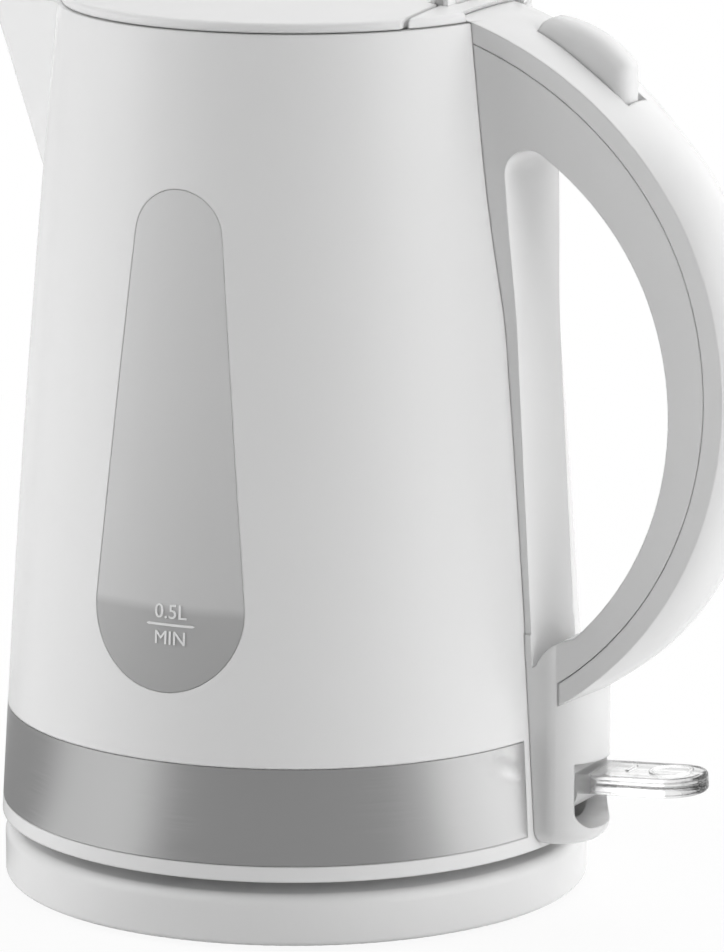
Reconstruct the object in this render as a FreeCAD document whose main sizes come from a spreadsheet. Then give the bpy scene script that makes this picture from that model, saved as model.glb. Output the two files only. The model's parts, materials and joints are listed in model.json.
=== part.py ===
import FreeCAD, Part
import math
import os
import Sketcher

# Electric kettle: a jug with spout, handle and lid, standing on a round power base.
# Millimetres, +Z up. The origin is on the jug's axis, on the surface that the base stands on.
# The handle points to +X, the spout to -X, and the gauge windows face -Y and +Y.

V = FreeCAD.Vector
X_AXIS = V(1, 0, 0)
Y_AXIS = V(0, 1, 0)
Z_AXIS = V(0, 0, 1)

SIZES = {
    # Clearances
    "running_gap": 0.3,
    "seam_gap": 0.2,
    "pin_gap": 0.05,
    # Screws
    "screw_radius": 1.4,
    "screw_head_radius": 2.8,
    "screw_head_height": 1.4,
    "screw_bite": 4.6,
    "boss_radius": 3.6,
    # Power base
    "foot_proud": 1.2,
    "foot_thickness": 2.4,
    "foot_inner": 52.0,
    "foot_width": 7.0,
    "base_radius": 74.8,
    "base_height": 14.25,
    "base_wall": 2.4,
    "base_edge": 2.6,
    "base_plate": 2.4,
    "base_screw_circle": 40.0,
    "connector_radius": 16.5,
    "connector_flange": 20.0,
    "connector_top": 28.0,
    "connector_bore": 4.0,
    "connector_floor": 7.0,
    "slot_inner": 8.0,
    "slot_outer": 11.0,
    "contact_wall": 0.6,
    "gland_radius": 3.7,
    "gland_bore": 3.1,
    "gland_collar": 4.8,
    "gland_collar_length": 3.0,
    "gland_inside": 6.0,
    # Jug
    "stand_gap": 3.65,
    "skirt_radius": 75.5,
    "rim_radius": 59.4,
    "jug_height": 208.6,
    "side_bulge": 1.2,
    "jug_wall": 2.4,
    "ledge_height": 30.6,
    "ledge_thickness": 3.0,
    "ledge_overlap": 3.0,
    "spout_root": 140.0,
    "spout_reach": 87.0,
    "spout_tip_radius": 20.0,
    "spout_sunk_root": 1.6,
    "spout_sunk_rim": 0.2,
    "spout_lip_rise": 5.0,
    "band_height": 24.2,
    "band_lift": 4.1,
    "band_thickness": 0.5,
    "band_end_angle": 11.5,
    "window_bottom_radius": 20.5,
    "window_top_radius": 11.9,
    "window_bottom_height": 66.4,
    "window_span": 91.8,
    "window_shift": 1.6,
    # Jug floor
    "rest_inner": 56.0,
    "rest_width": 3.0,
    "cover_lift": 0.7,
    "cover_thickness": 2.4,
    "coupler_radius": 20.8,
    "coupler_drop": 0.9,
    "coupler_room": 0.6,
    "coupler_headroom": 2.4,
    "coupler_cap": 2.5,
    "coupler_flange_width": 3.2,
    "coupler_flange_thickness": 1.8,
    "coupler_pin_radius": 2.0,
    "coupler_pin_length": 9.0,
    "plate_inset": 13.14,
    "plate_thickness": 1.2,
    "plate_rise": 0.8,
    "seal_thickness": 1.5,
    "seal_width": 3.0,
    "clamp_thickness": 2.5,
    "clamp_width": 7.5,
    "element_share": 0.7333,
    "element_tube": 3.4,
    "element_sweep": 300.0,
    "element_terminal_radius": 1.6,
    "element_terminal_length": 9.0,
    "control_radius": 24.0,
    "control_length": 56.0,
    "control_width": 36.0,
    "control_step": 4.0,
    "control_depth": 10.6,
    "bimetal_radius": 6.4,
    "bimetal_thickness": 0.5,
    "bimetal_spread": 17.0,
    "tube_radius": 3.8,
    "tube_wall": 0.9,
    "tube_wall_gap": 1.0,
    "tube_drop": 4.5,
    "tube_top_drop": 18.6,
    # Handle
    "handle_centre_x": 29.2,
    "handle_top_rise": 4.6,
    "edge_depth": 17.1,
    "crown_rise": 5.8,
    "crown_rise_ends": 2.0,
    "seam_depth": 12.2,
    "grip_set_back": 2.7,
    "grip_drop": 4.9,
    "grip_radius": 78.1,
    "grip_half_width": 12.0,
    "root_half_width": 15.7,
    "handle_wall": 2.4,
    "handle_front": 52.8,
    "spine_proud_top": 4.7,
    "spine_proud_middle": 1.9,
    "spine_proud_bottom": 0.8,
    "opening_top_round": 6.5,
    "housing_reach": 12.4,
    "housing_shoulder_reach": 3.1,
    "housing_half_width": 12.5,
    "housing_bottom": 1.1,
    "housing_top_share": 0.26606,
    "housing_slope": 11.5,
    "housing_bottom_round": 4.5,
    "housing_side_round": 6.0,
    "housing_wall": 2.6,
    # On/off lever
    "lever_pivot_reach": 2.8,
    "lever_pivot_z": 15.7,
    "lever_hub_radius": 6.3,
    "lever_half_width": 9.0,
    "lever_reach": 37.6,
    "lever_thickness": 5.0,
    "lever_tilt": 4.0,
    "lever_edge": 1.2,
    "lever_arm_reach": 15.0,
    "lever_arm_half_width": 3.0,
    "lever_arm_thickness": 3.0,
    "lever_pin_radius": 1.2,
    "lever_slot_below": 10.2,
    "lever_slot_above": 6.9,
    "lever_slot_round": 5.0,
    "lamp_inset": 1.5,
    "lamp_radius": 1.8,
    "lamp_length": 8.0,
    "steam_plate_thickness": 0.5,
    "steam_plate_height": 11.0,
    # Lid
    "lid_radius": 58.4,
    "lid_edge": 2.2,
    "lid_rise": 5.0,
    "lid_wall": 2.2,
    "lid_edge_round": 1.2,
    "hinge_x": 48.0,
    "hinge_half_width": 14.2,
    "knuckle_radius": 2.3,
    "knuckle_half_width": 9.5,
    "spring_half_width": 3.0,
    "hinge_pin_radius": 1.1,
    "hinge_chord_gap": 0.6,
    "deck_thickness": 3.0,
    "cup_radius": 55.2,
    "cup_wall": 2.0,
    "cup_depth": 8.0,
    "catch_thickness": 1.5,
    "catch_half_width": 6.0,
    "catch_bar": 2.0,
    # Lid button and latch arm
    "button_pin_x": 73.5,
    "button_pin_drop": 12.8,
    "button_pin_radius": 1.0,
    "button_half_width": 4.8,
    "button_nose_rise": 6.0,
    "button_crest_rise": 9.2,
    "button_rear_rise": 9.0,
    "button_bottom_drop": 1.2,
    "button_front_angle": 64.9,
    "button_nose_angle": -0.2,
    "button_rear_x": 94.7,
    "button_edge": 4.0,
    "cheek_thickness": 1.5,
    "hub_radius": 2.6,
    "arm_half_width": 3.0,
    "arm_thickness": 2.4,
    "arm_tip_x": 41.0,
    "hook_length": 2.2,
    "hook_drop": 1.4,
    "hook_clear": 2.0,
    "rib_thickness": 2.0,
    # Springs
    "button_spring_angle": 51.0,
    "button_spring_radius": 2.6,
    "button_spring_wire": 0.6,
    "button_spring_turns": 8,
    "lid_spring_radius": 1.75,
    "lid_spring_wire": 0.5,
    "lid_spring_turns": 5,
    "lid_spring_leg": 2.6,
    # Spout filter
    "filter_inset": 7.19,
    "filter_half_width": 15.5,
    "filter_bottom": 158.0,
    "filter_top_gap": 1.0,
    "filter_thickness": 2.0,
    "filter_bar": 3.5,
    "filter_net_thickness": 0.5,
    "filter_columns": 11,
    "filter_rows": 14,
    "filter_strand": 0.8,
    "guide_depth": 1.6,
    "guide_lip": 1.3,
}

doc = FreeCAD.newDocument("Kettle")
sheet = doc.addObject("Spreadsheet::Sheet", "Dims")
for row, (alias, number) in enumerate(SIZES.items(), start=1):
    sheet.set(f"A{row}", alias)
    sheet.set(f"B{row}", str(number))
    sheet.setAlias(f"B{row}", alias)
doc.recompute()

PARTS = {}

# Sizes and places that follow from others, as expressions on the sheet
JUG_FLOOR = "(Dims.base_height + Dims.stand_gap)"
PLATE_TOP = "(Dims.ledge_height - Dims.seal_thickness)"
PLATE_BOTTOM = "(Dims.ledge_height - Dims.seal_thickness - Dims.plate_thickness)"
COVER_TOP = "(Dims.cover_lift + Dims.cover_thickness)"
BASE_PLATE_TOP = "(Dims.foot_proud + Dims.base_plate)"
BASE_CEILING = "(Dims.base_height - Dims.base_wall)"
CONNECTOR_RISE = f"(Dims.connector_top - {JUG_FLOOR})"
COUPLER_ROOF = f"({CONNECTOR_RISE} + Dims.coupler_headroom)"
COUPLER_TOP = f"({COUPLER_ROOF} + Dims.coupler_cap)"
LEDGE_TAPER = "((Dims.skirt_radius - Dims.rim_radius) * Dims.ledge_height / Dims.jug_height)"
PLATE_RADIUS = f"(Dims.skirt_radius - {LEDGE_TAPER} - Dims.plate_inset)"
SEAL_OUTER = f"({PLATE_RADIUS} + Dims.seam_gap + Dims.seal_thickness)"
LEDGE_BORE = f"({PLATE_RADIUS} - Dims.ledge_overlap)"
ELEMENT_RADIUS = f"({PLATE_RADIUS} * Dims.element_share)"
TUBE_TOP = "(Dims.jug_height - Dims.tube_top_drop)"
DOME_RADIUS = "((Dims.lid_radius^2 + Dims.lid_rise^2) / (2 * Dims.lid_rise))"
LID_BOTTOM = "(Dims.jug_height + Dims.running_gap)"
DOME_CENTRE = f"({LID_BOTTOM} + Dims.lid_edge + Dims.lid_rise - {DOME_RADIUS})"
HINGE_HEIGHT = f"({DOME_CENTRE} + sqrt({DOME_RADIUS}^2 - Dims.hinge_x^2))"
EDGE_RADIUS = "(Dims.grip_radius + Dims.edge_depth)"
SEAM_RADIUS = "(Dims.grip_radius + Dims.seam_depth)"
HANDLE_CENTRE = f"(Dims.jug_height + Dims.handle_top_rise - {EDGE_RADIUS})"
HOUSING_REAR = "(Dims.skirt_radius + Dims.housing_reach)"
HOUSING_SHOULDER = "(Dims.skirt_radius + Dims.housing_shoulder_reach)"
HOUSING_TOP = "(Dims.jug_height * Dims.housing_top_share)"
HOUSING_CEILING = f"({HOUSING_TOP} - Dims.housing_slope - Dims.housing_wall)"
LEVER_PIVOT = "(Dims.skirt_radius + Dims.lever_pivot_reach)"
BUTTON_PIN = "(Dims.jug_height - Dims.button_pin_drop)"
BUTTON_BOTTOM = f"({EDGE_RADIUS} - Dims.button_bottom_drop)"
BUTTON_CREST = f"({EDGE_RADIUS} + Dims.button_crest_rise)"


def size(name):
    return float(sheet.get(name))


def value(text):
    return float(sheet.evalExpression(text))


def keep(node, feature, lift="0"):
    """Name a finished piece and set it at its height."""
    feature.Label = node
    feature.setExpression("Placement.Base.z", lift)
    PARTS[node] = feature
    return feature


def shaped(name, shape):
    feature = doc.addObject("Part::Feature", name)
    feature.Shape = shape
    return feature


def bound(kind, name, **texts):
    """A Part primitive whose sizes follow the sheet."""
    feature = doc.addObject(f"Part::{kind}", name)
    for prop, text in texts.items():
        feature.setExpression(prop, text)
    return feature


def moved(feature, rotation=None, **spots):
    """Set a feature's place by expressions, after an optional turn."""
    if rotation:
        feature.Placement = FreeCAD.Placement(V(), rotation)
    for axis, text in spots.items():
        feature.setExpression(f"Placement.Base.{axis}", text)
    return feature


def joined(kind, name, base, tool):
    feature = doc.addObject(f"Part::{kind}", name)
    feature.Base = base
    feature.Tool = tool
    return feature


def compound(name, *links):
    feature = doc.addObject("Part::Compound", name)
    feature.Links = list(links)
    return feature


def draw(sketch, outline):
    """Draw a closed outline of straight sides, each corner held by expressions."""
    corners = [(value(across), value(along)) for across, along in outline]
    count = len(corners)
    for i in range(count):
        start, end = corners[i], corners[(i + 1) % count]
        sketch.addGeometry(Part.LineSegment(V(*start), V(*end)))
    for i in range(count):
        sketch.addConstraint(Sketcher.Constraint("Coincident", i, 2, (i + 1) % count, 1))
    for i, texts in enumerate(outline):
        for kind, axis, text, number in zip(("DistanceX", "DistanceY"), (-2, -1), texts, corners[i]):
            if text == "0":
                sketch.addConstraint(Sketcher.Constraint("PointOnObject", i, 1, axis))
                continue
            held = sketch.addConstraint(Sketcher.Constraint(kind, -1, 1, i, 1, number))
            sketch.setExpression(f"Constraints[{held}]", text)


def turned(name, outline):
    """A body of revolution about its own Z axis, from a half section in X and Z."""
    body = doc.addObject("PartDesign::Body", name)
    sketch = body.newObject("Sketcher::SketchObject", f"{name}_section")
    plane = next(p for p in body.Origin.OriginFeatures if p.Role == "XZ_Plane")
    sketch.AttachmentSupport = (plane, [""])
    sketch.MapMode = "FlatFace"
    draw(sketch, outline)
    turn = body.newObject("PartDesign::Revolution", f"{name}_turn")
    turn.Profile = sketch
    turn.ReferenceAxis = (sketch, ["V_Axis"])
    turn.Angle = 360
    doc.recompute()
    return body


def rounded(body, radius, across, along):
    """Round the circular edge of a turned body that lies at this radius and height."""
    base = body.Tip
    names = []
    for i, edge in enumerate(base.Shape.Edges, start=1):
        curve = edge.Curve
        if not isinstance(curve, Part.Circle):
            continue
        flat = abs(curve.Axis.z) > 0.999
        if flat and abs(curve.Radius - value(across)) < 1e-6 and abs(curve.Center.z - value(along)) < 1e-6:
            names.append(f"Edge{i}")
    fillet = body.newObject("PartDesign::Fillet", f"{body.Name}_round_{len(body.Group)}")
    fillet.Base = (base, names)
    fillet.setExpression("Radius", radius)
    doc.recompute()
    return body


def tube(name, outer, inner, height):
    barrel = bound("Cylinder", f"{name}_barrel", Radius=outer, Height=height)
    bore = bound("Cylinder", f"{name}_bore", Radius=inner, Height=height)
    return joined("Cut", name, barrel, bore)


def around(count, circle, start):
    """Evenly spaced places on a circle about the jug's axis."""
    for i in range(count):
        angle = math.radians(start + i * 360 / count)
        yield V(circle * math.cos(angle), circle * math.sin(angle), 0)


def rod(radius, foot, direction, length):
    return Part.makeCylinder(radius, length, foot, direction)


def block(low, high):
    return Part.makeBox(high.x - low.x, high.y - low.y, high.z - low.z, low)


def both_sides(shape):
    """A shape and its mirror image in the centre plane."""
    return shape.fuse(shape.mirror(V(), Y_AXIS))


def plate(points, half_width):
    """A flat plate across the centre plane, from an outline in X and Z."""
    corners = [V(x, -half_width, z) for x, z in points]
    face = Part.Face(Part.makePolygon(corners + corners[:1]))
    return face.extrude(V(0, 2 * half_width, 0))


def screw(grip):
    """A pan-head screw that points up, with its head's underside at the origin."""
    head = rod(size("screw_head_radius"), V(), -Z_AXIS, size("screw_head_height"))
    shank = rod(size("screw_radius"), V(), Z_AXIS, grip + size("screw_bite"))
    return head.fuse(shank).removeSplitter()


def screws(places, height, grip):
    fastener = screw(grip)
    return Part.makeCompound([fastener.translated(place + V(0, 0, height)) for place in places])


def screw_room(place, height, grip):
    """The hole that a screw passes through, with the recess for its head below."""
    passage = rod(size("screw_radius") + size("seam_gap"), place + V(0, 0, height), Z_AXIS, grip)
    depth = size("screw_head_height") + size("housing_wall")
    recess = rod(size("screw_head_radius") + size("seam_gap"), place + V(0, 0, height), -Z_AXIS, depth)
    return passage.fuse(recess)


def pilot(place, height):
    depth = size("screw_bite") + size("seam_gap")
    return rod(size("screw_radius") + size("pin_gap"), place + V(0, 0, height), Z_AXIS, depth)


def cut_all(shape, tools):
    for tool in tools:
        shape = shape.cut(tool)
    return shape


# The jug's side

def side_radius(height):
    """The jug's outer radius: a shallow arc from the skirt to the rim."""
    foot = V(size("skirt_radius"), 0, 0)
    rim = V(size("rim_radius"), 0, size("jug_height"))
    chord = rim - foot
    outward = V(chord.z, 0, -chord.x).normalize()
    bulge = size("side_bulge")
    radius = (chord.Length ** 2 / 4 + bulge ** 2) / (2 * bulge)
    centre = (foot + rim) * 0.5 + outward * (bulge - radius)
    return centre.x + math.sqrt(radius ** 2 - (height - centre.z) ** 2)


def jug_form(offset, bottom, top):
    """The jug's round form between two heights, grown or shrunk by an offset."""
    middle = (bottom + top) / 2
    low, mid, high = [V(side_radius(h) + offset, 0, h) for h in (bottom, middle, top)]
    edges = [
        Part.LineSegment(V(0, 0, bottom), low).toShape(),
        Part.Arc(low, mid, high).toShape(),
        Part.LineSegment(high, V(0, 0, top)).toShape(),
        Part.LineSegment(V(0, 0, top), V(0, 0, bottom)).toShape(),
    ]
    return Part.Face(Part.Wire(edges)).revolve(V(), Z_AXIS, 360)


def teardrop(big, small, spacing):
    """The outline round two circles, the small one further along local Y."""
    lean = math.asin((big - small) / spacing)
    side, rise = math.cos(lean), math.sin(lean)
    right_low, left_low = V(big * side, big * rise), V(-big * side, big * rise)
    right_high = V(small * side, spacing + small * rise)
    left_high = V(-small * side, spacing + small * rise)
    return Part.Wire([
        Part.Arc(left_low, V(0, -big), right_low).toShape(),
        Part.LineSegment(right_low, right_high).toShape(),
        Part.Arc(right_high, V(0, spacing + small), left_high).toShape(),
        Part.LineSegment(left_high, left_low).toShape(),
    ])


def spout_form(inset):
    """The spout: its flanks leave the jug's side in line with it, and its ridge runs straight out."""
    root, rim = size("spout_root"), size("jug_height")
    tip_radius, rim_sunk = size("spout_tip_radius"), size("spout_sunk_rim")
    foot = side_radius(root) - rim_sunk
    slope = (size("spout_reach") - foot) / (rim - root)
    wires = []
    sections = ((root, 0.6, size("spout_sunk_root")), (rim + tip_radius, 1.0, rim_sunk))
    for height, tip_share, sunk in sections:
        tip = tip_radius * tip_share
        core = side_radius(height) - sunk
        ridge = foot + slope * (height - root)
        outline = teardrop(core - inset, tip - inset, ridge - tip)
        outline.rotate(V(), Z_AXIS, 90)
        outline.translate(V(0, 0, height))
        wires.append(outline)
    return Part.makeLoft(wires, True, True)


def rim_cut():
    """Everything above the rim, which is level round the jug and climbs along the spout."""
    rim, reach = size("jug_height"), size("spout_reach")
    lip_start = size("lid_radius") + size("running_gap")
    top = rim + reach
    slope = size("spout_lip_rise") / (reach - lip_start)
    far = 2 * reach
    lip = rim + slope * (far - lip_start)
    outline = [(far, rim), (-lip_start, rim), (-far, lip), (-far, top), (far, top)]
    return plate(outline, far)


def window_plug(grow, side):
    """The gauge window's teardrop, run out sideways through the jug's wall."""
    low, high = size("window_bottom_radius") + grow, size("window_top_radius") + grow
    outline = teardrop(low, high, size("window_span"))
    outline.rotate(V(), X_AXIS, 90)
    outline.translate(V(size("window_shift"), 0, size("window_bottom_height")))
    return Part.Face(outline).extrude(V(0, side * 2 * size("skirt_radius"), 0))


def band_form(grow):
    """The steel band's sleeve, open behind the handle."""
    bottom = size("band_lift") - grow
    top = size("band_lift") + size("band_height") + grow
    outside = grow * 4
    sleeve = jug_form(outside, bottom, top).cut(jug_form(-size("band_thickness") - grow / 2, bottom, top))
    half = math.radians(size("band_end_angle")) - grow / size("skirt_radius")
    reach = 2 * size("skirt_radius")
    wedge = Part.Face(Part.makePolygon([
        V(0, 0, bottom),
        V(reach, -reach * math.tan(half), bottom),
        V(reach, reach * math.tan(half), bottom),
        V(0, 0, bottom),
    ])).extrude(V(0, 0, top - bottom))
    return sleeve.cut(wedge)


def steam_line():
    """The steam tube's foot and head: it leans with the jug's rear wall."""
    off_wall = size("jug_wall") + size("tube_wall_gap") + size("tube_radius")
    low = size("ledge_height") - size("tube_drop")
    foot = V(side_radius(low) - off_wall, 0, low)
    high = value(TUBE_TOP)
    head = V(side_radius(high) - off_wall, 0, high)
    return foot, head


def boss_places(start):
    inset = size("jug_wall") + size("boss_radius") + size("seam_gap")
    return list(around(3, side_radius(size("ledge_height")) - inset, start))


CLAMP_BOSS_ANGLE = 60
COVER_BOSS_ANGLE = 30


def make_jug():
    wall, rim = size("jug_wall"), size("jug_height")
    ledge, ledge_top = size("ledge_height"), size("ledge_height") + size("ledge_thickness")
    gap = size("seam_gap")
    above = rim + 4 * wall
    outer = jug_form(0, 0, above).fuse(spout_form(0)).cut(rim_cut())
    hollow = jug_form(-wall, ledge_top, above).fuse(spout_form(wall))
    shell = cut_all(outer, [hollow, jug_form(-wall, -wall, ledge)])
    through = size("ledge_thickness") + 2 * wall
    shell = shell.cut(rod(value(LEDGE_BORE), V(0, 0, ledge - wall), Z_AXIS, through))

    clamp_top = value(PLATE_BOTTOM)
    cover_top = value(COVER_TOP)
    for place in boss_places(CLAMP_BOSS_ANGLE):
        boss = rod(size("boss_radius"), place + V(0, 0, clamp_top), Z_AXIS, ledge_top - clamp_top)
        shell = shell.fuse(boss)
        shell = shell.cut(pilot(place, clamp_top))
    for place in boss_places(COVER_BOSS_ANGLE):
        boss = rod(size("boss_radius"), place + V(0, 0, cover_top), Z_AXIS, ledge_top - cover_top)
        shell = shell.fuse(boss)
        shell = shell.cut(pilot(place, cover_top))

    shell = shell.fuse(filter_guides().common(jug_form(-wall / 2, 0, rim).fuse(spout_form(wall / 2))))
    foot, head = steam_line()
    shell = cut_all(shell, [
        rod(size("tube_radius") + gap, foot, head - foot, 4 * size("ledge_thickness")),
        band_form(gap),
        window_plug(gap / 2, -1),
        window_plug(gap / 2, 1),
        lever_room(),
        arm_room(),
    ])
    keep("jug_shell", shaped("jug_shell", shell.removeSplitter()), JUG_FLOOR)

    wall_ring = jug_form(0, ledge_top, rim).cut(jug_form(-wall, ledge_top, rim))
    for node, side in (("gauge_window_left", -1), ("gauge_window_right", 1)):
        keep(node, shaped(node, wall_ring.common(window_plug(0, side))), JUG_FLOOR)
    keep("steel_band", shaped("steel_band", band_form(0)), JUG_FLOOR)

    tube_shape = rod(size("tube_radius"), foot, head - foot, (head - foot).Length)
    tube_bore = rod(size("tube_radius") - size("tube_wall"), foot, head - foot, (head - foot).Length)
    keep("steam_tube", shaped("steam_tube", tube_shape.cut(tube_bore)), JUG_FLOOR)


# Spout filter

def filter_top():
    return size("jug_height") - size("cup_depth") - size("filter_top_gap")


def filter_x():
    """The filter stands clear of the wall below the spout."""
    return side_radius(size("filter_bottom")) - size("filter_inset")


def filter_guides():
    """Two upright channels in the spout's throat that hold the filter."""
    x, half = filter_x(), size("filter_half_width")
    lip = size("guide_lip") + size("filter_thickness") / 2 + size("seam_gap")
    inner = half - size("guide_depth")
    top = filter_top()
    low = V(-x - lip, inner, size("filter_bottom"))
    channel = block(low, V(-x + lip, size("rim_radius"), top))
    room = size("filter_thickness") / 2 + size("seam_gap")
    groove = block(V(-x - room, inner, low.z), V(-x + room, half + size("seam_gap"), top))
    return both_sides(channel.cut(groove))


def make_filter():
    x, half, bar = filter_x(), size("filter_half_width"), size("filter_bar")
    bottom = size("filter_bottom")
    top = filter_top()
    thick, net = size("filter_thickness") / 2, size("filter_net_thickness") / 2
    frame = block(V(-x - thick, -half, bottom), V(-x + thick, half, top))
    hole = block(V(-x - thick, bar - half, bottom + bar), V(-x + thick, half - bar, top - bar))
    keep("filter_frame", shaped("filter_frame", frame.cut(hole)), JUG_FLOOR)

    columns, rows, strand = int(size("filter_columns")), int(size("filter_rows")), size("filter_strand")
    gap = size("seam_gap")
    left, floor = bar - half + gap, bottom + bar + gap
    wide, high = -2 * left, top - bar - gap - floor
    step_y, step_z = (wide - strand) / columns, (high - strand) / rows

    def outline(y, z, dy, dz):
        spots = ((y, z), (y + dy, z), (y + dy, z + dz), (y, z + dz))
        corners = [V(-x - net, across, rise) for across, rise in spots]
        return Part.makePolygon(corners + corners[:1])

    holes = [
        outline(left + strand + i * step_y, floor + strand + j * step_z, step_y - strand, step_z - strand)
        for i in range(columns) for j in range(rows)
    ]
    sheet_face = Part.makeFace([outline(left, floor, wide, high)] + holes, "Part::FaceMakerBullseye")
    keep("filter_net", shaped("filter_net", sheet_face.extrude(V(2 * net, 0, 0))), JUG_FLOOR)


# Handle

def handle_spot(radius, degrees, y=0.0):
    angle = math.radians(degrees)
    return handle_axis() + V(radius * math.cos(angle), y, radius * math.sin(angle))


def handle_axis():
    return V(size("handle_centre_x"), 0, value(HANDLE_CENTRE))


def grip_axis():
    """The grip's inner face turns about an axis of its own, behind and below the handle's."""
    return handle_axis() + V(size("grip_set_back"), 0, -size("grip_drop"))


def out_from_axis(point):
    """How far a point lies from the axis of the handle's arc."""
    axis = handle_axis()
    return math.hypot(point.x - axis.x, point.z - axis.z)


def handle_half_width(degrees):
    """The handle widens towards its upper root."""
    flare_start, flare_end = 18, 68
    share = min(max((degrees - flare_start) / (flare_end - flare_start), 0), 1)
    smooth = share * share * (3 - 2 * share)
    return size("grip_half_width") + smooth * (size("root_half_width") - size("grip_half_width"))


def crown_at(degrees):
    """The crown is fullest at the grip and flatter towards both ends of the handle."""
    full_to, flat_from = 30, 52
    share = min(max((flat_from - abs(degrees)) / (flat_from - full_to), 0), 1)
    smooth = share * share * (3 - 2 * share)
    low, high = size("crown_rise_ends"), size("crown_rise")
    return value(EDGE_RADIUS) + low + smooth * (high - low)


def handle_form(inset, first, last):
    """The handle's crowned form, a sector about the handle's centre, between two angles."""
    steps = 12
    wires = []
    for i in range(steps + 1):
        degrees = first + (last - first) * i / steps
        half = handle_half_width(degrees) - inset
        edge, crown = value(EDGE_RADIUS) - inset, crown_at(degrees) - inset
        core = size("handle_centre_x")
        corners = [handle_spot(core, degrees, -half), handle_spot(edge, degrees, -half)]
        corners += [handle_spot(edge, degrees, half), handle_spot(core, degrees, half)]
        wires.append(Part.Wire([
            Part.LineSegment(corners[0], corners[1]).toShape(),
            Part.Arc(corners[1], handle_spot(crown, degrees), corners[2]).toShape(),
            Part.LineSegment(corners[2], corners[3]).toShape(),
            Part.LineSegment(corners[3], corners[0]).toShape(),
        ]))
    return Part.makeLoft(wires, True, False)


def cross_drum(axis, radius):
    reach = 2 * size("root_half_width")
    return rod(radius, axis - Y_AXIS * reach, Y_AXIS, 2 * reach)


def seam_drum(gap):
    return cross_drum(handle_axis(), value(SEAM_RADIUS) + gap)


def grip_drum(grow):
    return cross_drum(grip_axis(), size("grip_radius") + grow)


def finger_opening():
    """The space for the fingers, between the spine on the jug and the grip."""
    floor, top = value(HOUSING_TOP), handle_axis().z + size("grip_radius")
    trough = floor - size("housing_slope")
    middle = (trough + top) / 2
    low = V(side_radius(trough) + size("spine_proud_bottom"), 0, trough)
    mid = V(side_radius(middle) + size("spine_proud_middle"), 0, middle)
    high = V(side_radius(top) + size("spine_proud_top"), 0, top)
    right = V(size("handle_centre_x") + value(EDGE_RADIUS), 0, top)
    ridge = V(value(HOUSING_REAR), 0, floor)
    shoulder = low + V((ridge.x - low.x) / 4, 0, 2 * size("housing_slope") / 3)
    reach = 2 * size("root_half_width")
    outline = Part.Wire([
        Part.Arc(low, mid, high).toShape(),
        Part.LineSegment(high, right).toShape(),
        Part.LineSegment(right, V(right.x, 0, floor)).toShape(),
        Part.LineSegment(V(right.x, 0, floor), ridge).toShape(),
        Part.Arc(ridge, shoulder, low).toShape(),
    ])
    beside_spine = Part.Face(outline).extrude(V(0, 2 * reach, 0)).translated(V(0, -reach, 0))
    space = beside_spine.common(grip_drum(0))
    corner = [
        e for e in space.Edges
        if e.BoundBox.YLength > reach and e.BoundBox.XLength < 1e-6 and e.CenterOfMass.z > middle
    ]
    return space.makeFillet(size("opening_top_round"), corner)


def switch_housing(grow):
    """The block at the handle's foot that holds the on/off lever, with a crowned rear face."""
    rear, shoulder = value(HOUSING_REAR) + grow, value(HOUSING_SHOULDER)
    bottom, top = size("housing_bottom") - grow, value(HOUSING_TOP)
    half, inside = size("housing_half_width") + grow, value(LEDGE_BORE)
    spots = ((inside, -half), (shoulder, -half), (shoulder, half), (inside, half))
    corners = [V(x, y, bottom) for x, y in spots]
    outline = Part.Wire([
        Part.LineSegment(corners[0], corners[1]).toShape(),
        Part.Arc(corners[1], V(rear, 0, bottom), corners[2]).toShape(),
        Part.LineSegment(corners[2], corners[3]).toShape(),
        Part.LineSegment(corners[3], corners[0]).toShape(),
    ])
    solid = Part.Face(outline).extrude(Z_AXIS * (top - bottom))
    upright_edges = [
        e for e in solid.Edges
        if e.BoundBox.ZLength > 1 and abs(e.CenterOfMass.x - shoulder) < 1e-3
    ]
    solid = solid.makeFillet(size("housing_side_round"), upright_edges)
    foot_edges = [
        e for e in solid.Edges
        if e.BoundBox.ZMax < bottom + 1e-3 and e.BoundBox.XMax > inside + 1
    ]
    return solid.makeFillet(size("housing_bottom_round"), foot_edges)


def spine_foot():
    """The foot of the spine: it lies on the jug, from the handle's arc down to the switch housing."""
    low, high, half = value(HOUSING_CEILING), handle_axis().z, size("grip_half_width")
    skin = jug_form(size("spine_proud_bottom"), low, high)
    return skin.common(block(V(0, -half, low), V(2 * size("skirt_radius"), half, high)))


def lever_pivot():
    return V(value(LEVER_PIVOT), 0, size("lever_pivot_z"))


def lever_room():
    """The slot for the lever, rounded below: through the housing's rear face and the jug's skirt."""
    pivot, gap = lever_pivot(), size("running_gap")
    half = size("lever_half_width") + gap
    low = V(pivot.x - size("lever_arm_reach"), -half, pivot.z - size("lever_slot_below"))
    high = V(value(HOUSING_REAR) + 2 * size("handle_wall"), half, pivot.z + size("lever_slot_above"))
    slot = block(low, high)
    foot_edges = [e for e in slot.Edges if e.BoundBox.XLength > 1 and e.CenterOfMass.z < pivot.z - 1]
    return slot.makeFillet(size("lever_slot_round"), foot_edges)


def housing_hollow():
    """The space inside the switch housing, open towards the jug."""
    wall = size("housing_wall")
    half = size("housing_half_width") - wall
    low = V(value(LEDGE_BORE), -half, size("housing_bottom") + wall)
    return block(low, V(value(HOUSING_SHOULDER), half, value(HOUSING_CEILING)))


def arm_room():
    """The slot that the latch arm passes through, high enough for its swing."""
    pin_z, gap = value(BUTTON_PIN), size("running_gap")
    half = size("arm_half_width") + gap
    low = V(size("hinge_x"), -half, pin_z - size("arm_thickness") / 2 - 2 * gap)
    return block(low, V(size("button_pin_x"), half, pin_z + 1.6 * size("arm_thickness")))


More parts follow.
